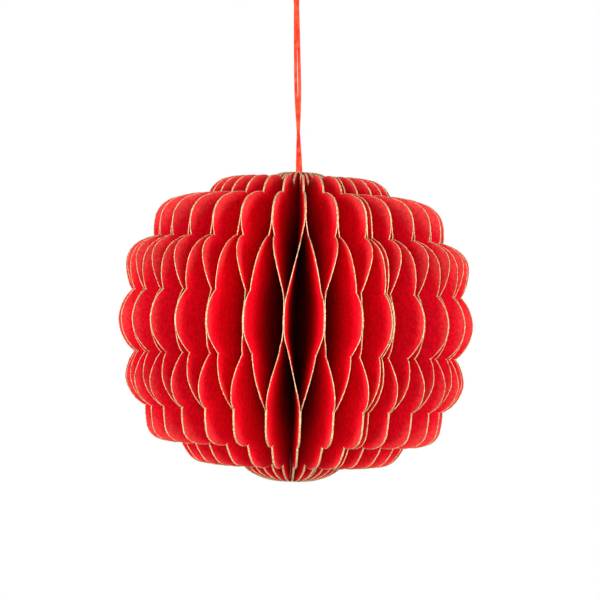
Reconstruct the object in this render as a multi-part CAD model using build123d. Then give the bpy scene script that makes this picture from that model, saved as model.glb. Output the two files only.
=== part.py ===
from build123d import *
from math import cos, pi, radians, sin, tan
import os

# Kusudama paper ball: a honeycomb ball of scalloped paper leaves round an upright spine, hung on
# a doubled cord. Millimetres. The origin is the ball's centre, +Z runs up the spine and the front
# faces -Y. An azimuth is in degrees from the front, growing towards +X.

# Paper and glue. The first and the last leaf lean the same way, so their number is odd.
PAPER_THICKNESS = 0.35
GLUE_GAP = 0.03
LEAF_PAIRS = 28

# Outline of a leaf, from the spine outwards, petal by petal. Each petal is a chain of arcs, given by
# the (radius, height) at which an arc ends and how far it bulges out of its chord. A petal's last
# point is the notch where the next one starts, and the last arc of all ends at the spine's bottom.
SPINE_TOP = 65.2
SPINE_BOTTOM = -65.4
PETALS = [
    [(14.9, 59.0, 2.5)],
    [(29.8, 62.8, 1.8), (38.7, 55.3, 1.7)],
    [(52.4, 53.5, 0.75), (60.8, 46.0, 1.45), (61.4, 36.7, 0.4)],
    [(68.0, 34.0, 0.35), (72.7, 25.5, 1.25), (69.9, 14.1, 0.75)],
    [(75.2, 2.5, 1.1), (68.2, -12.0, 1.9)],
    [(71.7, -23.0, 0.9), (63.0, -34.6, 1.8)],
    [(62.2, -42.3, 0.2), (57.0, -48.6, 1.2), (47.4, -49.3, 0.7)],
    [(43.4, -55.6, 0.3), (36.5, -58.3, 0.8), (21.7, -57.5, 1.1)],
    [(16.5, -62.4, 0.6)],
]
LAST_BULGE = 0.9

# Heights of the glued stretches. A leaf holds one neighbour above the upper and below the lower
# height, and its other neighbour between the two middle heights.
UPPER_GLUE_BOTTOM = 41.0
MIDDLE_GLUE_TOP = 10.3
MIDDLE_GLUE_BOTTOM = -4.0
LOWER_GLUE_TOP = -34.2
# Pairs whose upper glue ends higher or lower than the others', by the number of their first leaf
UPPER_GLUE_SLIPS = {47: 1.8, 49: 0.6, 51: 1.9, 53: -0.5, 55: -1.7}
# Half the height over which the paper turns out of a glued stretch
PAPER_BEND = 2.5

# How the leaves stand round the spine. They are a little closer at the front than at the back, and
# were glued less evenly towards the last one, in a slow wave round the ball. The first and the last
# leaf meet at the seam, where they aren't glued and stand apart by the two openings. All in degrees.
SEAM_AZIMUTH = 31.1
FRONT_CROWDING = 3.95
UNEVEN_GLUING = 1.1
UNEVEN_WAVE = 103.0
UNEVEN_CREST = 378.0
SEAM_OPENING_AT_POLES = 2.1
SEAM_OPENING_AT_MIDDLE = 0.75

# Thread that binds the leaves beside the spine, sewn through them in closed rings. Its end hangs in
# an open cell at the front.
THREAD_DIAMETER = 0.4
THREAD_KNOT_DIAMETER = 0.64
NEEDLE_CLEARANCE = 0.15
NEEDLE_RADIUS = 7.0
STITCH_HEIGHTS = [-52.0, -26.0, 0.0, 26.0, 52.0]
THREAD_END_AZIMUTH = 356.0
THREAD_END_ABOVE_BOTTOM = 1.1

# Hanging cord and its knot. The route goes up one strand, round the loop and down the other, and
# the two strands cross once on the way.
CORD_DIAMETER = 1.25
ARC_SHARE = 0.45
CORD_ROUTE = [
    (0.36, 0.0, 57.5),
    (0.36, 0.0, 66.0),
    (-1.1, -0.68, 80.7),
    (-2.7, -0.1, 98.0),
    (-3.6, 0.0, 116.0),
    (-4.05, 0.05, 131.0),
    (-4.41, 0.0, 140.0),
    (-6.3, 0.0, 145.6),
    (-9.3, 0.0, 151.3),
    (-7.1, 0.0, 155.5),
    (-2.1, 0.0, 155.9),
    (0.9, 0.0, 151.7),
    (-1.7, 0.0, 145.6),
    (-3.09, 0.0, 140.0),
    (-2.68, -0.05, 131.0),
    (-1.85, 0.0, 116.0),
    (-1.2, 0.1, 98.0),
    (-1.3, 0.68, 80.7),
    (-0.96, 0.0, 66.0),
    (-0.96, 0.0, 57.5),
]
KNOT_CLEARANCE = 0.3
# How far above its middle the knot is cut flat, as a share of its diameter
KNOT_CUT_SHARE = 0.42
KNOT_NECK_RIM = 0.2
KNOT_TURN_TILT = 62.0
KNOT_TURNS = 3
KNOT_END_LENGTH = 3.0
KNOT_END_GAP = 0.15

# Worked out
LEAF_COUNT = 2 * LEAF_PAIRS + 1
LAST_LEAF = LEAF_COUNT - 1
PITCH = 360.0 / LAST_LEAF
SPINE_PITCH = 360.0 / LEAF_COUNT
LEAF_SPACING = PAPER_THICKNESS + GLUE_GAP
SPINE_RADIUS = LEAF_SPACING / (2 * sin(pi / LEAF_COUNT))
# Beyond the edge of every leaf, above and beside it: what is cut away when a leaf is trimmed
TRIM_MARGIN = 1.5
OUTLINE_ARCS = [arc for petal in PETALS for arc in petal]
WIDEST_BULGE = max(bulge for radius, height, bulge in OUTLINE_ARCS)
TRIM_RADIUS = max(radius for radius, height, bulge in OUTLINE_ARCS) + WIDEST_BULGE + TRIM_MARGIN
TRIM_HALF_WIDTH = 2 * TRIM_RADIUS * tan(radians(PITCH))
KNOT_DIAMETER = 2 * (SPINE_RADIUS - KNOT_CLEARANCE)
KNOT_TOP = CORD_ROUTE[0][2]
KNOT_CENTRE = KNOT_TOP - KNOT_CUT_SHARE * KNOT_DIAMETER
KNOT_NECK_RADIUS = max(abs(CORD_ROUTE[0][0]), abs(CORD_ROUTE[-1][0])) + CORD_DIAMETER / 2 + KNOT_NECK_RIM


def glued_azimuth(leaf):
    """Azimuth of the plane in which this leaf and the next one are glued together."""
    turned = (leaf + 0.5) * PITCH
    even = SEAM_AZIMUTH + turned
    crowded = even - FRONT_CROWDING * sin(radians(even))
    return crowded + UNEVEN_GLUING * turned / 360 * cos(2 * pi * (even - UNEVEN_CREST) / UNEVEN_WAVE)


def leaf_frame(leaf):
    """The leaf's own azimuth, and its edge's azimuth at the poles and at the middle.

    Each edge azimuth comes with the side on which its glued neighbour lies: 1 for the next leaf,
    -1 for the one before, 0 for none."""
    before = glued_azimuth(leaf - 1) if leaf > 0 else glued_azimuth(LAST_LEAF - 1) - 360
    after = glued_azimuth(leaf) if leaf < LAST_LEAF else glued_azimuth(0) + 360
    if leaf == 0:
        poles, middle = (before + SEAM_OPENING_AT_POLES, 0), (after, 1)
    elif leaf == LAST_LEAF:
        poles, middle = (before, -1), (after - SEAM_OPENING_AT_MIDDLE, 0)
    elif leaf % 2 == 0:
        poles, middle = (before, -1), (after, 1)
    else:
        poles, middle = (after, 1), (before, -1)
    return (before + after) / 2, poles, middle


def edge_offset(own, edge):
    """Sideways place of the paper's middle out at the trim radius."""
    azimuth, side = edge
    turn = radians(azimuth - own)
    return TRIM_RADIUS * tan(turn) - side * LEAF_SPACING / 2 / cos(turn)


def spine_offset(leaf, own):
    """Sideways place of the paper's middle where it starts at the spine."""
    spine_azimuth = SEAM_AZIMUTH + 180 + (leaf - LEAF_PAIRS) * SPINE_PITCH
    return SPINE_RADIUS * sin(radians(spine_azimuth - own))


def upper_glue_bottom(leaf):
    """Where this leaf's upper glue ends: at the same height as its neighbour's."""
    first = leaf if leaf % 2 else leaf - 1
    return UPPER_GLUE_BOTTOM + UPPER_GLUE_SLIPS.get(first, 0.0)


def paper_path(leaf, at_poles, at_middle):
    """(height, sideways) points of the paper's middle at the trim radius, from the top down."""
    turns = [
        (upper_glue_bottom(leaf), MIDDLE_GLUE_TOP, at_poles, at_middle),
        (MIDDLE_GLUE_BOTTOM, LOWER_GLUE_TOP, at_middle, at_poles),
    ]
    points = [(SPINE_TOP + TRIM_MARGIN, at_poles)]
    for start, end, here, there in turns:
        slope = (there - here) / (start - end)
        bend_rise = slope * PAPER_BEND / 4
        points += [
            (start + PAPER_BEND, here),
            (start, here + bend_rise),
            (start - PAPER_BEND, here + slope * PAPER_BEND),
            (end + PAPER_BEND, there - slope * PAPER_BEND),
            (end, there - bend_rise),
            (end - PAPER_BEND, there),
        ]
    return points + [(SPINE_BOTTOM - TRIM_MARGIN, at_poles)]


def paper_band(plane_x, path):
    """Cut through the bent sheet, in the plane at plane_x."""
    half = PAPER_THICKNESS / 2
    one_side = [(plane_x, sideways + half, height) for height, sideways in path]
    other_side = [(plane_x, sideways - half, height) for height, sideways in path]
    return Face(Wire.make_polygon(one_side + other_side[::-1], close=True))


def leaf_outline():
    """Flat shape of a leaf in the XZ plane, with its needle holes."""
    start = (SPINE_RADIUS, SPINE_TOP)
    edges = []
    for *end, bulge in OUTLINE_ARCS + [(SPINE_RADIUS, SPINE_BOTTOM, LAST_BULGE)]:
        chord = Vector(end[0] - start[0], end[1] - start[1])
        outward = Vector(-chord.Y, chord.X).normalized()
        crest = Vector((start[0] + end[0]) / 2, (start[1] + end[1]) / 2) + outward * bulge
        edges.append(
            ThreePointArc((start[0], 0, start[1]), (crest.X, 0, crest.Y), (end[0], 0, end[1]))
        )
        start = end
    edges.append(Line((SPINE_RADIUS, 0, SPINE_BOTTOM), (SPINE_RADIUS, 0, SPINE_TOP)))
    return Face(Wire(edges))


def flat_leaf():
    """Thick slab with the leaf's outline, which trims the bent sheet."""
    slab = extrude(leaf_outline(), amount=TRIM_HALF_WIDTH, dir=(0, 1, 0), both=True)
    hole = Cylinder(
        THREAD_DIAMETER / 2 + NEEDLE_CLEARANCE, 2 * TRIM_HALF_WIDTH, rotation=(90, 0, 0)
    )
    for height in STITCH_HEIGHTS:
        slab -= Pos(NEEDLE_RADIUS, 0, height) * hole
    return slab


def paper_leaf(leaf, slab):
    """One leaf: a thin sheet that runs straight from the spine to its wavy edge."""
    own, poles, middle = leaf_frame(leaf)
    path = paper_path(leaf, edge_offset(own, poles), edge_offset(own, middle))
    start = spine_offset(leaf, own)
    at_spine = [(height, start) for height, sideways in path]
    sheet = loft(
        [paper_band(SPINE_RADIUS, at_spine), paper_band(TRIM_RADIUS, path)], ruled=True, clean=False
    )
    return Rot(0, 0, own - 90) * (sheet & slab)


def sheet_place(leaf, distance):
    """Where a leaf's middle is at this distance from the axis, at the height of the poles' glue."""
    own, poles, middle = leaf_frame(leaf)
    inner = spine_offset(leaf, own)
    share = (distance - SPINE_RADIUS) / (TRIM_RADIUS - SPINE_RADIUS)
    sideways = inner + (edge_offset(own, poles) - inner) * share
    return Vector(distance, sideways, 0).rotate(Axis.Z, own - 90)


def thread_end_place():
    """Middle of the cell in which the thread's end hangs, at the needle holes' radius.

    Cells are open at the poles between leaves that are glued at the middle: every other one."""
    leaf = min(range(0, LAST_LEAF, 2), key=lambda i: abs(glued_azimuth(i) - THREAD_END_AZIMUTH))
    both = sheet_place(leaf, NEEDLE_RADIUS) + sheet_place(leaf + 1, NEEDLE_RADIUS)
    return both.normalized() * NEEDLE_RADIUS


def spine_thread():
    """Closed stitches through every leaf, and the end that hangs from the lowest one's knot."""
    lowest, *others = sorted(STITCH_HEIGHTS)
    stitch = Torus(NEEDLE_RADIUS, THREAD_DIAMETER / 2)
    hanging = Cylinder(
        THREAD_DIAMETER / 2,
        lowest - SPINE_BOTTOM - THREAD_END_ABOVE_BOTTOM,
        align=(Align.CENTER, Align.CENTER, Align.MAX),
    )
    end = hanging + Sphere(THREAD_KNOT_DIAMETER / 2)
    place = thread_end_place()
    tied_off = Pos(0, 0, lowest) * (stitch + Pos(place.X, place.Y, 0) * end)
    closed = [(Pos(0, 0, height) * stitch).solid() for height in others]
    return Compound(children=[tied_off.solid()] + closed)


def cord_radii():
    """Radius of the arc at each inner point of the cord's route, as large as its runs allow."""
    route = [Vector(point) for point in CORD_ROUTE]
    radii = []
    for before, here, after in zip(route, route[1:], route[2:]):
        shorter = min((here - before).length, (after - here).length)
        half_turn = radians((here - before).get_angle(after - here)) / 2
        radii.append(ARC_SHARE * shorter / tan(half_turn))
    return radii


def hanging_cord():
    """Both strands and the loop, as one tube that starts and ends on the knot's flat top."""
    path = FilletPolyline(*CORD_ROUTE, radius=cord_radii())
    section = Plane(origin=path @ 0, z_dir=path % 0) * Circle(CORD_DIAMETER / 2)
    tube = sweep(section, path=path)
    print("cord arc radii", [round(radius, 1) for radius in cord_radii()])
    print("cord length", round(path.length, 1))
    print("cord volume over section times length", round(tube.volume / section.area / path.length, 4))
    return tube


def cord_knot():
    """The knot that joins the cord's two ends: turns of cord round a core, and two short ends."""
    turn_radius = (KNOT_DIAMETER - CORD_DIAMETER) / 2
    knot = Sphere(turn_radius)
    for turn in range(KNOT_TURNS):
        knot += Rot(0, 0, 180 * turn / KNOT_TURNS) * Rot(KNOT_TURN_TILT, 0, 0) * Torus(
            turn_radius, CORD_DIAMETER / 2
        )
    neck_height = KNOT_TOP - KNOT_CENTRE
    knot += Cylinder(
        KNOT_NECK_RADIUS, neck_height, align=(Align.CENTER, Align.CENTER, Align.MIN)
    )
    end = Cylinder(
        CORD_DIAMETER / 2,
        KNOT_DIAMETER / 2 + KNOT_END_LENGTH,
        align=(Align.CENTER, Align.CENTER, Align.MAX),
    )
    for side in (-1, 1):
        knot += Pos(side * (CORD_DIAMETER + KNOT_END_GAP) / 2, 0, 0) * end
    above = Box(
        KNOT_DIAMETER, KNOT_DIAMETER, KNOT_DIAMETER, align=(Align.CENTER, Align.CENTER, Align.MIN)
    )
    return Pos(0, 0, KNOT_CENTRE) * (knot - Pos(0, 0, neck_height) * above)


os.makedirs("parts", exist_ok=True)
leaf_slab = flat_leaf()
pieces = {
    f"paper_leaf_{leaf + 1:02d}": paper_leaf(leaf, leaf_slab) for leaf in range(LEAF_COUNT)
}
pieces["spine_thread"] = spine_thread()
pieces["hanging_cord"] = hanging_cord()
pieces["cord_knot"] = cord_knot()
for name, piece in pieces.items():
    export_step(piece, f"parts/{name}.step")
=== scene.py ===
# Kusudama paper ball: scalloped leaves of red cotton paper stand round an upright spine, glued in
# turn at the poles and at the middle, so that they open into petal-shaped cells. Each cut edge is
# run with gold glitter, and the ball hangs on a doubled braided cord.
import bmesh
import bpy
from math import asin, ceil, cos, pi, radians, sin, tan
from mathutils import Matrix, Vector, noise


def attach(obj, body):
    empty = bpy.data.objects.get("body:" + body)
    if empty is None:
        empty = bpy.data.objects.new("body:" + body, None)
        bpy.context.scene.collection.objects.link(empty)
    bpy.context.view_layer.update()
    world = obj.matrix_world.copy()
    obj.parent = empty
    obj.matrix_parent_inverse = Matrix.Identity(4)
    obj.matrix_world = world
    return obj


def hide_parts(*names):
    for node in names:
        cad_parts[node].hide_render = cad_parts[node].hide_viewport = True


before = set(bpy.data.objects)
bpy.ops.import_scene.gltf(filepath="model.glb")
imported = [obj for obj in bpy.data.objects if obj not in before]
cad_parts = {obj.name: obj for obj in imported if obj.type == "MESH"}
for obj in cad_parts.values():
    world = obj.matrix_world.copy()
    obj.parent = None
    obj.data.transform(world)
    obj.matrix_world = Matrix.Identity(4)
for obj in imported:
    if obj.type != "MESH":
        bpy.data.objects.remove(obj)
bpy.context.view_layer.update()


# Paper leaves: half flower shapes cut from one pile of handmade cotton paper, dyed red right
# through. They are stitched at the spine, and glued to their neighbours where the cells close.
# Lengths are in millimetres, and azimuths in degrees to the right of the ball's front.
METRES = 0.001
LEAF_PAIRS = 28
PAPER_THICKNESS = 0.35
GLUE_GAP = 0.03
SPINE_TOP = 65.2
SPINE_BOTTOM = -65.4
PETALS = [
    [(14.9, 59.0, 2.5)],
    [(29.8, 62.8, 1.8), (38.7, 55.3, 1.7)],
    [(52.4, 53.5, 0.75), (60.8, 46.0, 1.45), (61.4, 36.7, 0.4)],
    [(68.0, 34.0, 0.35), (72.7, 25.5, 1.25), (69.9, 14.1, 0.75)],
    [(75.2, 2.5, 1.1), (68.2, -12.0, 1.9)],
    [(71.7, -23.0, 0.9), (63.0, -34.6, 1.8)],
    [(62.2, -42.3, 0.2), (57.0, -48.6, 1.2), (47.4, -49.3, 0.7)],
    [(43.4, -55.6, 0.3), (36.5, -58.3, 0.8), (21.7, -57.5, 1.1)],
    [(16.5, -62.4, 0.6)],
]
LAST_BULGE = 0.9
ARC_STEP = 1.6
ROW_HEIGHT = 2.0
FIRST_COLUMN = 2.0
COLUMN_WIDTH = 8.0
CUT_TOLERANCE = 0.001
CREASE_ANGLE = 0.5
UPPER_GLUE_BOTTOM = 41.0
MIDDLE_GLUE_TOP = 10.3
MIDDLE_GLUE_BOTTOM = -4.0
LOWER_GLUE_TOP = -34.2
UPPER_GLUE_SLIPS = {47: 1.8, 49: 0.6, 51: 1.9, 53: -0.5, 55: -1.7}
PAPER_BEND = 2.5
FRONT_ANGLE = -90.0
SEAM_AZIMUTH = 31.1
FRONT_CROWDING = 3.95
UNEVEN_GLUING = 1.1
UNEVEN_WAVE = 103.0
UNEVEN_CREST = 378.0
SEAM_OPENING_AT_POLES = 2.1
SEAM_OPENING_AT_MIDDLE = 0.75
TRIM_MARGIN = 1.5

LEAF_COUNT = 2 * LEAF_PAIRS + 1
LAST_LEAF = LEAF_COUNT - 1
PITCH = 360.0 / LAST_LEAF
SPINE_PITCH = 360.0 / LEAF_COUNT
LEAF_SPACING = PAPER_THICKNESS + GLUE_GAP
SPINE_RADIUS = LEAF_SPACING / (2 * sin(pi / LEAF_COUNT))
OUTLINE_ARCS = [arc for petal in PETALS for arc in petal]
WIDEST_RADIUS = max(radius for radius, height, bulge in OUTLINE_ARCS)
WIDEST_BULGE = max(bulge for radius, height, bulge in OUTLINE_ARCS)
TRIM_RADIUS = WIDEST_RADIUS + WIDEST_BULGE + TRIM_MARGIN

# Deep in the cells, near the spine and away from the poles, the paper's red is painted darker as
# painted shade.
PAINTED_SHADE_REDS = (0.26, 0.0002, 0.0012, 1.0), (0.38, 0.0004, 0.0026, 1.0)
OUTER_REDS = (0.66, 0.0004, 0.0105, 1.0), (0.88, 0.0016, 0.0180, 1.0)
# Near the outer edges the paper is painted paler pink, as a painted highlight.
PAINTED_HIGHLIGHT_REDS = (0.84, 0.032, 0.038, 1.0), (0.95, 0.058, 0.057, 1.0)
FIBRE_RED = (0.78, 0.006, 0.014, 1.0)
FIBRE_STRENGTH = 0.20
FIBRE_WIDTH = 0.022
EDGE_POWER = 2.4
PAINTED_SHADE_REACH = 0.10, 0.60
PAINTED_HIGHLIGHT_REACH = 0.84, 1.02
PAINTED_HIGHLIGHT_STRENGTH = 0.95
GRAIN_HEIGHT = 0.7
FIBRE_HEIGHT = 0.35
CLOUD_HEIGHT = 1.6
PAPER_RELIEF = 0.00008
GRAIN_TONES = 0.3, 0.7
PAPER_ROUGHNESS = 0.55, 0.72


def add_node(tree, kind, inputs, **settings):
    """A node with its settings made, and its inputs set or linked."""
    node = tree.nodes.new(kind)
    for name, value in settings.items():
        setattr(node, name, value)
    for name, value in inputs.items():
        if isinstance(value, bpy.types.NodeSocket):
            tree.links.new(value, node.inputs[name])
        else:
            node.inputs[name].default_value = value
    return node


def maths(tree, operation, *values):
    """What a Math node makes of these numbers."""
    return add_node(tree, "ShaderNodeMath", dict(enumerate(values)), operation=operation).outputs[0]


def vectors(tree, operation, *values, result="Vector"):
    """What a Vector Math node makes of these vectors."""
    node = add_node(tree, "ShaderNodeVectorMath", dict(enumerate(values)), operation=operation)
    return node.outputs[result]


def ranged(tree, value, low, high, to_low=0.0, to_high=1.0, ease="LINEAR"):
    """A number that goes from to_low to to_high while the value goes from low to high."""
    inputs = {"Value": value, "From Min": low, "From Max": high}
    inputs |= {"To Min": to_low, "To Max": to_high}
    return add_node(tree, "ShaderNodeMapRange", inputs, interpolation_type=ease).outputs[0]


def mixed(tree, share, first, second):
    """A colour that goes from the first to the second while the share goes from 0 to 1."""
    inputs = {"Factor": share, "A": first, "B": second}
    return add_node(tree, "ShaderNodeMix", inputs, data_type="RGBA").outputs["Result"]


def raised(tree, height, strength, relief):
    """The normal of a surface with this height on it, where a height of 1 is relief metres."""
    inputs = {"Strength": strength, "Distance": relief, "Height": height}
    return add_node(tree, "ShaderNodeBump", inputs).outputs["Normal"]


def new_material(name):
    """An empty node material with its output, and the object's own coordinates."""
    material = bpy.data.materials.new(name)
    material.use_nodes = True
    tree = material.node_tree
    tree.nodes.clear()
    output = tree.nodes.new("ShaderNodeOutputMaterial")
    place = tree.nodes.new("ShaderNodeTexCoord").outputs["Object"]
    return material, tree, output, place


def finish_material(tree, output, inputs):
    """Give the material its surface."""
    shader = add_node(tree, "ShaderNodeBsdfPrincipled", inputs)
    tree.links.new(shader.outputs["BSDF"], output.inputs["Surface"])


uneven_dye = bpy.data.node_groups.new("uneven_dye", "ShaderNodeTree")
uneven_dye.interface.new_socket("Place", in_out="INPUT", socket_type="NodeSocketVector")
for name in ("Scale", "Detail", "Roughness", "Darkest", "Lightest"):
    uneven_dye.interface.new_socket(name, in_out="INPUT", socket_type="NodeSocketFloat")
for name in ("Clouds", "Tone"):
    uneven_dye.interface.new_socket(name, in_out="OUTPUT", socket_type="NodeSocketFloat")
given = uneven_dye.nodes.new("NodeGroupInput").outputs
made = uneven_dye.nodes.new("NodeGroupOutput").inputs
clouds = add_node(
    uneven_dye,
    "ShaderNodeTexNoise",
    {
        "Vector": given["Place"],
        "Scale": given["Scale"],
        "Detail": given["Detail"],
        "Roughness": given["Roughness"],
    },
).outputs["Fac"]
tone = ranged(uneven_dye, clouds, given["Darkest"], given["Lightest"])
uneven_dye.links.new(clouds, made["Clouds"])
uneven_dye.links.new(tone, made["Tone"])

paper, tree, output, place = new_material("red_cotton_paper")
dye = add_node(
    tree,
    "ShaderNodeGroup",
    {
        "Place": place,
        "Scale": 640.0,
        "Detail": 3.0,
        "Roughness": 0.6,
        "Darkest": 0.38,
        "Lightest": 0.62,
    },
    node_tree=uneven_dye,
).outputs
grain = add_node(
    tree, "ShaderNodeTexNoise", {"Vector": place, "Scale": 2100.0, "Detail": 3.0, "Roughness": 0.6}
).outputs["Fac"]
strands = add_node(
    tree,
    "ShaderNodeTexNoise",
    {"Vector": place, "Scale": 520.0, "Detail": 1.5, "Roughness": 0.5, "Distortion": 0.9},
).outputs["Fac"]
from_strand = maths(tree, "ABSOLUTE", maths(tree, "SUBTRACT", strands, 0.5))
fibres = ranged(tree, from_strand, 0.0, FIBRE_WIDTH, 1.0, 0.0)
from_axis = vectors(tree, "MULTIPLY", place, (1.0, 1.0, 0.0))
axis_distance = vectors(tree, "LENGTH", from_axis, result="Value")
width_share = maths(tree, "DIVIDE", axis_distance, WIDEST_RADIUS * METRES)
height = add_node(tree, "ShaderNodeSeparateXYZ", {"Vector": place}).outputs["Z"]
height_share = maths(tree, "ABSOLUTE", maths(tree, "DIVIDE", height, SPINE_TOP * METRES))
width_power = maths(tree, "POWER", width_share, EDGE_POWER)
height_power = maths(tree, "POWER", height_share, EDGE_POWER)
outward_share = maths(tree, "ADD", width_power, height_power)
# Painted shade: the red goes darker towards the spine, deep in the cells, and keeps its own colour
# out at the edges.
painted_shade_red = mixed(tree, dye["Tone"], *PAINTED_SHADE_REDS)
outer_red = mixed(tree, dye["Tone"], *OUTER_REDS)
painted_highlight_red = mixed(tree, dye["Tone"], *PAINTED_HIGHLIGHT_REDS)
painted_shade_fade = ranged(tree, outward_share, *PAINTED_SHADE_REACH, ease="SMOOTHSTEP")
red_with_painted_shade = mixed(tree, painted_shade_fade, painted_shade_red, outer_red)
fibred = mixed(tree, maths(tree, "MULTIPLY", fibres, FIBRE_STRENGTH), red_with_painted_shade, FIBRE_RED)
# Painted highlight: the red goes paler pink close to the outer edges.
painted_highlight_share = ranged(tree, outward_share, *PAINTED_HIGHLIGHT_REACH, to_high=PAINTED_HIGHLIGHT_STRENGTH, ease="SMOOTHSTEP")
grain_height = maths(tree, "MULTIPLY", grain, GRAIN_HEIGHT)
fibre_height = maths(tree, "MULTIPLY_ADD", fibres, FIBRE_HEIGHT, grain_height)
paper_height = maths(tree, "MULTIPLY_ADD", dye["Clouds"], CLOUD_HEIGHT, fibre_height)
finish_material(
    tree,
    output,
    {
        "Base Color": mixed(tree, painted_highlight_share, fibred, painted_highlight_red),
        "Roughness": ranged(tree, grain, *GRAIN_TONES, *PAPER_ROUGHNESS),
        "Specular IOR Level": 0.14,
        "Normal": raised(tree, paper_height, strength=0.5, relief=PAPER_RELIEF),
    },
)


def petal_arcs():
    """Start, centre and turn of each arc round the petals, from the spine's top to its bottom."""
    arcs = []
    start = Vector((SPINE_RADIUS, 0, SPINE_TOP))
    for radius, height, bulge in OUTLINE_ARCS + [(SPINE_RADIUS, SPINE_BOTTOM, LAST_BULGE)]:
        end = Vector((radius, 0, height))
        half_chord = (end - start).length / 2
        bend = (half_chord ** 2 + bulge ** 2) / (2 * bulge)
        inward = Vector((0, 1, 0)).cross(end - start).normalized()
        centre = (start + end) / 2 + inward * (bend - bulge)
        arcs.append((start, centre, 2 * asin(half_chord / bend)))
        start = end
    return arcs


def flat_paper():
    """A leaf's paper before it is opened, flat in the XZ plane, cut along a grid."""
    bm = bmesh.new()
    bm.verts.layers.float.new("painted_bead_light")
    first = bm.verts.new((SPINE_RADIUS, 0, SPINE_TOP))
    last = first
    for start, centre, turn in petal_arcs():
        steps = ceil((start - centre).length * turn / ARC_STEP)
        spun = bmesh.ops.spin(
            bm, geom=[last], cent=centre, axis=(0, 1, 0), angle=turn, steps=steps,
            use_merge=False, use_duplicate=False, use_normal_flip=False,
        )
        last = [part for part in spun["geom_last"] if isinstance(part, bmesh.types.BMVert)][0]
    bm.edges.new((last, first))
    bmesh.ops.contextual_create(bm, geom=bm.edges[:])
    for direction, cut, end, step in (
        ((0, 0, 1), SPINE_BOTTOM + ROW_HEIGHT, SPINE_TOP, ROW_HEIGHT),
        ((1, 0, 0), FIRST_COLUMN, TRIM_RADIUS, COLUMN_WIDTH),
    ):
        while cut < end:
            bmesh.ops.bisect_plane(
                bm, geom=bm.verts[:] + bm.edges[:] + bm.faces[:], dist=CUT_TOLERANCE,
                plane_co=Vector(direction) * cut, plane_no=direction,
            )
            cut += step
    bmesh.ops.recalc_face_normals(bm, faces=bm.faces)
    bmesh.ops.solidify(bm, geom=bm.faces[:], thickness=PAPER_THICKNESS)
    middle = sum(vert.co.y for vert in bm.verts) / len(bm.verts)
    bmesh.ops.translate(bm, verts=bm.verts, vec=(0, -middle, 0))
    bmesh.ops.recalc_face_normals(bm, faces=bm.faces)
    for face in bm.faces:
        face.smooth = True
    for edge in bm.edges:
        edge.smooth = edge.calc_face_angle(0) < CREASE_ANGLE
    return bm


def glued_azimuth(leaf):
    """Azimuth of the plane in which this leaf and the next one are glued together."""
    turned = (leaf + 0.5) * PITCH
    even = SEAM_AZIMUTH + turned
    crowded = even - FRONT_CROWDING * sin(radians(even))
    wave = cos(2 * pi * (even - UNEVEN_CREST) / UNEVEN_WAVE)
    return crowded + UNEVEN_GLUING * turned / 360 * wave


def leaf_frame(leaf):
    """The leaf's own azimuth, and its edge's azimuth and glued side at the poles and the middle."""
    before = glued_azimuth(leaf - 1) if leaf > 0 else glued_azimuth(LAST_LEAF - 1) - 360
    after = glued_azimuth(leaf) if leaf < LAST_LEAF else glued_azimuth(0) + 360
    if leaf == 0:
        poles, middle = (before + SEAM_OPENING_AT_POLES, 0), (after, 1)
    elif leaf == LAST_LEAF:
        poles, middle = (before, -1), (after - SEAM_OPENING_AT_MIDDLE, 0)
    elif leaf % 2 == 0:
        poles, middle = (before, -1), (after, 1)
    else:
        poles, middle = (after, 1), (before, -1)
    return (before + after) / 2, poles, middle


def edge_offset(own, edge):
    """Sideways place of the paper's middle out at the trim radius."""
    azimuth, side = edge
    turn = radians(azimuth - own)
    return TRIM_RADIUS * tan(turn) - side * LEAF_SPACING / 2 / cos(turn)


def eased(height, start, end):
    """Share of the way from the glued stretch that ends at start to the one at end, bent softly."""
    way = (start - height) / (start - end)
    bend = PAPER_BEND / (start - end)
    if way <= -bend:
        return 0.0
    if way < bend:
        return (way + bend) ** 2 / (4 * bend)
    if way <= 1 - bend:
        return way
    if way < 1 + bend:
        return 1 - (1 + bend - way) ** 2 / (4 * bend)
    return 1.0


def open_leaf(bm, leaf):
    """Bend the flat leaf into its place between its neighbours, and stand it round the spine."""
    own, poles, middle = leaf_frame(leaf)
    at_poles, at_middle = edge_offset(own, poles), edge_offset(own, middle)
    pair = leaf if leaf % 2 else leaf - 1
    upper_glue_bottom = UPPER_GLUE_BOTTOM + UPPER_GLUE_SLIPS.get(pair, 0.0)
    spine_azimuth = SEAM_AZIMUTH + 180 + (leaf - LEAF_PAIRS) * SPINE_PITCH
    inner = SPINE_RADIUS * sin(radians(spine_azimuth - own))
    width = TRIM_RADIUS - SPINE_RADIUS
    for vert in bm.verts:
        height = vert.co.z
        opened = eased(height, upper_glue_bottom, MIDDLE_GLUE_TOP)
        opened -= eased(height, MIDDLE_GLUE_BOTTOM, LOWER_GLUE_TOP)
        outer = at_poles + (at_middle - at_poles) * opened
        vert.co.y += inner + (outer - inner) * (vert.co.x - SPINE_RADIUS) / width
    stand = Matrix.Rotation(radians(own + FRONT_ANGLE), 4, "Z") @ Matrix.Scale(METRES, 4)
    bmesh.ops.transform(bm, verts=bm.verts, matrix=stand)


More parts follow.
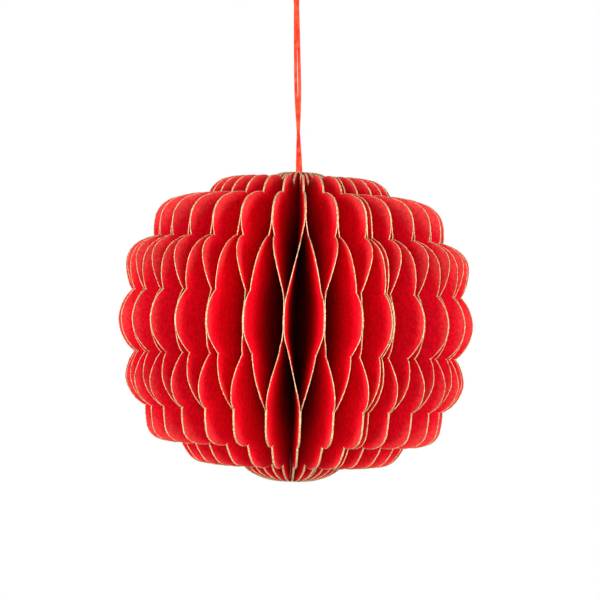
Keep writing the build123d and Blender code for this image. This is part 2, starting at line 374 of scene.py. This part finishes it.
# The gold glitter is brushed along the cut edges of the closed pile, so that it coats each edge
# and a hair of both faces. It is thin and grainy, and gathers in the notches between the petals.
# Its gold is painted brown as painted shade on the sides of each bead, against the paper's faces,
# and keeps its own pale cream on the crown and in the notch drops; random streaks mix the two.
# Each leaf gets its coat here, and then takes its place in the ball.
GLITTER_RADIUS = 0.205
GLITTER_SIDES = 6
GLITTER_STEP = 0.75
GLITTER_UNEVENNESS = 0.20
LUMPS_ALONG = 1.3
LUMPS_ACROSS = 2.0
LUMPS_TO_NEXT_LEAF = 7.0
GLITTER_DROP_RADIUS = 0.33
GLITTER_DROP_LIGHT = 0.8
GLITTER_SHADE_AND_GOLD = (0.34, 0.105, 0.034, 1.0), (0.76, 0.62, 0.33, 1.0)
GLITTER_TONES = 1.45, 2.10
STREAK_STRENGTH = 2.4
FLAKE_TILT = (1.1, 1.1, 1.1)

glitter, tree, output, place = new_material("gold_glitter")
flakes = add_node(
    tree, "ShaderNodeTexVoronoi", {"Vector": place, "Scale": 4200.0}, feature="F1"
).outputs["Color"]
streaks = add_node(
    tree, "ShaderNodeTexNoise", {"Vector": place, "Scale": 1500.0, "Detail": 2.0, "Roughness": 0.7}
).outputs["Fac"]
surface = tree.nodes.new("ShaderNodeNewGeometry").outputs["Normal"]
tilt = vectors(tree, "MULTIPLY", vectors(tree, "SUBTRACT", flakes, (0.5, 0.5, 0.5)), FLAKE_TILT)
# Painted shade: this share of light turns the sides of each bead brown and leaves its crown cream.
painted_bead_light = add_node(tree, "ShaderNodeAttribute", {}, attribute_name="painted_bead_light").outputs["Fac"]
streaked_bead_light = maths(tree, "MULTIPLY_ADD", streaks, STREAK_STRENGTH, painted_bead_light)
finish_material(
    tree,
    output,
    {
        "Base Color": mixed(tree, ranged(tree, streaked_bead_light, *GLITTER_TONES), *GLITTER_SHADE_AND_GOLD),
        "Metallic": 0.1,
        "Roughness": 0.42,
        "Normal": vectors(tree, "NORMALIZE", vectors(tree, "ADD", surface, tilt)),
    },
)


def flat_glitter():
    """The glitter round a flat leaf: a thin bead round each petal, and drops in the notches."""
    bm = bmesh.new()
    # This layer holds each vertex's share of painted light, not the glitter's thickness.
    thickness = bm.verts.layers.float.new("painted_bead_light")
    for start, centre, turn in petal_arcs():
        outward = (start - centre).normalized()
        along = Vector((0, 1, 0)).cross(outward)
        facing = Matrix((outward, Vector((0, 1, 0)), along)).transposed().to_4x4()
        ring = bmesh.ops.create_circle(
            bm, cap_ends=False, radius=GLITTER_RADIUS, segments=GLITTER_SIDES,
            matrix=Matrix.Translation(start) @ facing,
        )["verts"]
        # Painted shade: 0 on the sides of the bead, which go brown, and 1 on its crown, which keeps
        # the cream.
        for vert in ring:
            vert[thickness] = max((vert.co - start).dot(outward) / GLITTER_RADIUS, 0.0)
        edges = list(dict.fromkeys(edge for vert in ring for edge in vert.link_edges))
        steps = ceil((start - centre).length * turn / GLITTER_STEP)
        bmesh.ops.spin(
            bm, geom=ring + edges, cent=centre, axis=(0, 1, 0), angle=turn, steps=steps,
            use_merge=False, use_duplicate=False, use_normal_flip=False,
        )
    bmesh.ops.holes_fill(bm, edges=bm.edges[:], sides=0)
    for petal in PETALS[:-1]:
        radius, height = petal[-1][:2]
        notch = Matrix.Translation((radius, 0, height))
        drop = bmesh.ops.create_icosphere(
            bm, subdivisions=1, radius=GLITTER_DROP_RADIUS, matrix=notch
        )
        for vert in drop["verts"]:
            vert[thickness] = GLITTER_DROP_LIGHT
    bmesh.ops.recalc_face_normals(bm, faces=bm.faces)
    for face in bm.faces:
        face.smooth = True
        face.material_index = 1
    return bm


cut_paper = flat_paper()
brushed_glitter = flat_glitter()
for leaf in range(LEAF_COUNT):
    mesh = bpy.data.meshes.new(f"leaf_{leaf + 1:02d}")
    bm = brushed_glitter.copy()
    bm.normal_update()
    shift = leaf * LUMPS_TO_NEXT_LEAF
    for vert in bm.verts:
        x, y, z = vert.co
        spot = Vector((x * LUMPS_ALONG, y * LUMPS_ACROSS + shift, z * LUMPS_ALONG))
        vert.co += vert.normal * GLITTER_UNEVENNESS * noise.noise(spot)
    bm.to_mesh(mesh)
    bm.free()
    bm = cut_paper.copy()
    bm.from_mesh(mesh)
    open_leaf(bm, leaf)
    bm.to_mesh(mesh)
    bm.free()
    mesh.materials.append(paper)
    mesh.materials.append(glitter)
    piece = bpy.data.objects.new(mesh.name, mesh)
    bpy.context.collection.objects.link(piece)
    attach(piece, "root")
    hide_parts(f"paper_leaf_{leaf + 1:02d}")
cut_paper.free()
brushed_glitter.free()


# Binding thread: grey-brown waxed linen, sewn in rings through all the leaves close to the spine.
# Up the spine, deep in the cells, it is painted dark red as painted shade. Its loose end, in the
# dark cell at the bottom of the front, keeps its own colour.
PAINTED_SHADE_BOTTOM = -63.0
PAINTED_SHADE_TOP = -52.0
THREAD_GREYS = (0.30, 0.22, 0.18, 1.0), (0.62, 0.50, 0.42, 1.0)
THREAD_PAINTED_SHADE = (0.08, 0.002, 0.003, 1.0)
THREAD_RELIEF = 0.00008

thread, tree, output, place = new_material("waxed_linen_thread")
lay_of_thread = add_node(
    tree,
    "ShaderNodeTexWave",
    {"Vector": place, "Scale": 900.0, "Distortion": 2.0, "Detail": 2.0},
    wave_type="BANDS",
    bands_direction="DIAGONAL",
).outputs["Fac"]
up_the_thread = add_node(tree, "ShaderNodeSeparateXYZ", {"Vector": place}).outputs["Z"]
# Painted shade: the thread turns dark red above its loose end at the bottom.
painted_shade_share = ranged(tree, up_the_thread, PAINTED_SHADE_BOTTOM * METRES, PAINTED_SHADE_TOP * METRES)
clean_thread = mixed(tree, lay_of_thread, *THREAD_GREYS)
finish_material(
    tree,
    output,
    {
        "Base Color": mixed(tree, painted_shade_share, clean_thread, THREAD_PAINTED_SHADE),
        "Roughness": 0.6,
        "Sheen Weight": 0.2,
        "Normal": raised(tree, lay_of_thread, strength=0.6, relief=THREAD_RELIEF),
    },
)
spine_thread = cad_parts["spine_thread"]
spine_thread.data.materials.clear()
spine_thread.data.materials.append(thread)


# Hanging cord: eight orange-red yarns braided round a core, doubled into a loop. Its two ends go
# down into the top of the spine, to the knot that holds them there.
CORD_DIAMETER = 1.25
CORD_ROUTE = [
    (0.36, 0.0, 57.5),
    (0.36, 0.0, 66.0),
    (-1.1, -0.68, 80.7),
    (-2.75, -0.1, 98.0),
    (-3.46, 0.0, 116.0),
    (-3.93, 0.1, 131.0),
    (-4.05, 0.2, 140.0),
    (-6.3, 0.0, 145.6),
    (-9.3, 0.0, 151.3),
    (-7.1, 0.0, 155.5),
    (-2.1, 0.0, 155.9),
    (0.9, 0.0, 151.7),
    (-1.7, 0.0, 145.6),
    (-3.35, -0.2, 140.0),
    (-2.77, -0.1, 131.0),
    (-1.98, 0.0, 116.0),
    (-1.05, 0.1, 98.0),
    (-1.35, 0.68, 80.7),
    (-1.25, 0.0, 66.0),
    (-1.15, 0.0, 57.5),
]
ROUTE_STEPS = 24
YARN_RADIUS = 0.20
YARN_WAVE = 0.05
YARN_FLUFF = 0.14
YARNS_EACH_WAY = 4
BRAID_PITCH = 3.4
POINTS_A_TURN = 16
CORE_RADIUS = 0.54
YARN_REDS = (0.80, 0.009, 0.003, 1.0), (0.97, 0.078, 0.018, 1.0)
YARN_SHEEN = (1.0, 0.45, 0.35, 1.0)
YARN_RELIEF = 0.00006

yarn, tree, output, place = new_material("orange_red_braid")
yarn_fibres = add_node(
    tree, "ShaderNodeTexNoise", {"Vector": place, "Scale": 3200.0, "Detail": 2.0, "Roughness": 0.6}
).outputs["Fac"]
dye = add_node(
    tree,
    "ShaderNodeGroup",
    {
        "Place": place,
        "Scale": 420.0,
        "Detail": 2.0,
        "Roughness": 0.5,
        "Darkest": 0.36,
        "Lightest": 0.64,
    },
    node_tree=uneven_dye,
).outputs
finish_material(
    tree,
    output,
    {
        "Base Color": mixed(tree, dye["Tone"], *YARN_REDS),
        "Roughness": 0.6,
        "Specular IOR Level": 0.2,
        "Sheen Weight": 0.1,
        "Sheen Tint": YARN_SHEEN,
        "Normal": raised(tree, yarn_fibres, strength=0.5, relief=YARN_RELIEF),
    },
)


def mesh_of(curve, name):
    """The mesh that a curve makes, in place of the curve."""
    carrier = bpy.data.objects.new(name, curve)
    bpy.context.collection.objects.link(carrier)
    bpy.context.view_layer.update()
    mesh = bpy.data.meshes.new_from_object(
        carrier.evaluated_get(bpy.context.evaluated_depsgraph_get())
    )
    mesh.name = name
    bpy.data.objects.remove(carrier)
    bpy.data.curves.remove(curve)
    return mesh


def smooth_route(points):
    """Close points in metres along the smooth line that these control points pull."""
    curve = bpy.data.curves.new("route", "CURVE")
    curve.dimensions = "3D"
    spline = curve.splines.new("NURBS")
    spline.points.add(len(points) - 1)
    for control, point in zip(spline.points, points):
        control.co = (*(Vector(point) * METRES), 1.0)
    spline.order_u = 3
    spline.use_endpoint_u = True
    spline.resolution_u = ROUTE_STEPS
    return [vert.co.copy() for vert in mesh_of(curve, "route").vertices]


def evenly(points, spacing):
    """Points at equal distances along a line of close points."""
    spread = [points[0].copy()]
    left = spacing
    for here, there in zip(points, points[1:]):
        length = (there - here).length
        while left <= length:
            spread.append(here.lerp(there, left / length))
            left += spacing
        left -= length
    return spread


cord_line = smooth_route(CORD_ROUTE)
close_line = evenly(cord_line, BRAID_PITCH * METRES / POINTS_A_TURN)
across = Vector((0, 1, 0))
sides = []
for before, after in zip([close_line[0]] + close_line, close_line[1:] + [close_line[-1]]):
    along = (after - before).normalized()
    across = (across - along * across.dot(along)).normalized()
    sides.append((across.copy(), along.cross(across)))

curve = bpy.data.curves.new("braid", "CURVE")
curve.dimensions = "3D"
curve.bevel_depth = YARN_RADIUS * METRES
curve.bevel_resolution = 1
curve.use_fill_caps = True
middle_radius = CORD_DIAMETER / 2 + YARN_FLUFF - YARN_RADIUS - YARN_WAVE
for way in (1, -1):
    for number in range(YARNS_EACH_WAY):
        spline = curve.splines.new("POLY")
        spline.points.add(len(close_line) - 1)
        for step, (centre, (side, other)) in enumerate(zip(close_line, sides)):
            turn = 2 * pi * (way * step / POINTS_A_TURN + number / YARNS_EACH_WAY)
            wave = cos(2 * pi * YARNS_EACH_WAY * step / POINTS_A_TURN)
            radius = (middle_radius + way * YARN_WAVE * wave) * METRES
            yarn_centre = centre + (side * cos(turn) + other * sin(turn)) * radius
            spline.points[step].co = (*yarn_centre, 1.0)
core = curve.splines.new("POLY")
core.points.add(len(close_line) - 1)
for point, centre in zip(core.points, close_line):
    point.co = (*centre, 1.0)
    point.radius = CORE_RADIUS / YARN_RADIUS
braid_mesh = mesh_of(curve, "braided_cord")
braid_mesh.materials.clear()
braid_mesh.materials.append(yarn)
braid_mesh.shade_smooth()
braid = bpy.data.objects.new("braided_cord", braid_mesh)
bpy.context.collection.objects.link(braid)
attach(braid, "root")
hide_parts("hanging_cord")
cord_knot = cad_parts["cord_knot"]
cord_knot.data.materials.clear()
cord_knot.data.materials.append(yarn)


# Studio: a white room with a pale floor well below the hanging ball. Soft level light comes from
# the front and the back, and a large lamp stands on each side. The floor can't be seen from below.
# Its lengths are in metres, and its lamps in watts.
FLOOR_HEIGHT = -0.24
FLOOR_RADIUS = 0.7
FLOOR_SIDES = 96
FLOOR_FADE = 0.40
FLOOR_WHITENESS = 0.5
FLOOR_GREY = (0.88, 0.88, 0.88, 1.0)
WHITE = (1.0, 1.0, 1.0, 1.0)
ROOM_LIGHT = 0.03
FRONT_LIGHT = 2.7
FRONT_LIGHT_SPREAD = 0.50, 1.0
LEVEL_LIGHT_SPREAD = 0.15, 0.58
LAMP_WIDTH = 0.9
LAMP_HEIGHT = 1.3
LAMPS = {
    "lamp_left": ((-1.08, -0.96, -0.05), 28.0),
    "lamp_right": ((1.02, -1.02, -0.05), 25.0),
}

floor_material, tree, output, place = new_material("pale_floor")
floor_shade = add_node(tree, "ShaderNodeBsdfDiffuse", {"Color": FLOOR_GREY}).outputs[0]
white = add_node(tree, "ShaderNodeEmission", {"Color": WHITE, "Strength": 1.0}).outputs[0]
clear = tree.nodes.new("ShaderNodeBsdfTransparent").outputs[0]
from_middle = vectors(tree, "LENGTH", place, result="Value")
whiteness = ranged(tree, from_middle, FLOOR_FADE, FLOOR_RADIUS, FLOOR_WHITENESS)
seen_by = tree.nodes.new("ShaderNodeLightPath").outputs
white_share = maths(tree, "MULTIPLY", whiteness, seen_by["Is Camera Ray"])
faded = add_node(tree, "ShaderNodeMixShader", {"Fac": white_share, 1: floor_shade, 2: white})
underside = tree.nodes.new("ShaderNodeNewGeometry").outputs["Backfacing"]
one_sided = add_node(
    tree, "ShaderNodeMixShader", {"Fac": underside, 1: faded.outputs[0], 2: clear}
)
tree.links.new(one_sided.outputs[0], output.inputs["Surface"])
bm = bmesh.new()
bmesh.ops.create_circle(
    bm, cap_ends=True, radius=FLOOR_RADIUS, segments=FLOOR_SIDES,
    matrix=Matrix.Translation((0, 0, FLOOR_HEIGHT)),
)
floor_mesh = bpy.data.meshes.new("floor")
bm.to_mesh(floor_mesh)
bm.free()
floor_mesh.materials.append(floor_material)
floor = bpy.data.objects.new("floor", floor_mesh)
bpy.context.collection.objects.link(floor)

world = bpy.data.worlds.new("white_room")
world.use_nodes = True
bpy.context.scene.world = world
tree = world.node_tree
tree.nodes.clear()
output = tree.nodes.new("ShaderNodeOutputWorld")
seen_by = tree.nodes.new("ShaderNodeLightPath").outputs
seen_or_mirrored = maths(tree, "MAXIMUM", seen_by["Is Camera Ray"], seen_by["Is Glossy Ray"])
backdrop_share = maths(tree, "MAXIMUM", seen_or_mirrored, seen_by["Is Transmission Ray"])
direction = tree.nodes.new("ShaderNodeTexCoord").outputs["Generated"]
frontwards = vectors(tree, "DOT_PRODUCT", direction, (0.0, -1.0, 0.0), result="Value")
upwards = vectors(tree, "DOT_PRODUCT", direction, (0.0, 0.0, 1.0), result="Value")
front_or_back = maths(tree, "ABSOLUTE", frontwards)
off_level = maths(tree, "ABSOLUTE", upwards)
front_share = ranged(tree, front_or_back, *FRONT_LIGHT_SPREAD)
level_share = ranged(tree, off_level, *LEVEL_LIGHT_SPREAD, 1.0, 0.0)
both_shares = maths(tree, "MULTIPLY", front_share, level_share)
room_light = maths(tree, "MULTIPLY_ADD", both_shares, FRONT_LIGHT, ROOM_LIGHT)
room = add_node(tree, "ShaderNodeBackground", {"Color": WHITE, "Strength": room_light}).outputs[0]
backdrop = add_node(tree, "ShaderNodeBackground", {"Color": WHITE, "Strength": 1.0}).outputs[0]
surroundings = add_node(tree, "ShaderNodeMixShader", {"Fac": backdrop_share, 1: room, 2: backdrop})
tree.links.new(surroundings.outputs[0], output.inputs["Surface"])

for name, (spot, power) in LAMPS.items():
    lamp = bpy.data.lights.new(name, "AREA")
    lamp.shape = "RECTANGLE"
    lamp.size = LAMP_WIDTH
    lamp.size_y = LAMP_HEIGHT
    lamp.energy = power
    holder = bpy.data.objects.new(name, lamp)
    holder.location = spot
    holder.rotation_mode = "QUATERNION"
    holder.rotation_quaternion = (-Vector(spot)).to_track_quat("-Z", "Y")
    bpy.context.collection.objects.link(holder)


# The camera stands far off at the height of the ball's middle, with a long lens, and leans a
# little, as the ball does in the photograph. Distances are in metres, and the lens in millimetres.
CAMERA_DISTANCE = 1.424
CAMERA_HEIGHT = -0.0085
CAMERA_TARGET = Vector((0.0014, 0.0, 0.0115))
CAMERA_LEAN = 1.6
CAMERA_LENS = 201.0
CAMERA_SENSOR = 36.0
NEAREST_SEEN = 0.05
FARTHEST_SEEN = 50.0

camera_data = bpy.data.cameras.new("camera")
camera_data.sensor_width = CAMERA_SENSOR
camera_data.lens = CAMERA_LENS
camera_data.clip_start = NEAREST_SEEN
camera_data.clip_end = FARTHEST_SEEN
camera = bpy.data.objects.new("camera", camera_data)
bpy.context.collection.objects.link(camera)
camera.location = (CAMERA_TARGET.x, -CAMERA_DISTANCE, CAMERA_HEIGHT)
looking = (CAMERA_TARGET - camera.location).to_track_quat("-Z", "Y")
leaning = Matrix.Rotation(radians(CAMERA_LEAN), 3, "Z").to_quaternion()
camera.rotation_mode = "QUATERNION"
camera.rotation_quaternion = looking @ leaning
bpy.context.scene.camera = camera
bpy.context.scene.view_settings.view_transform = "Standard"
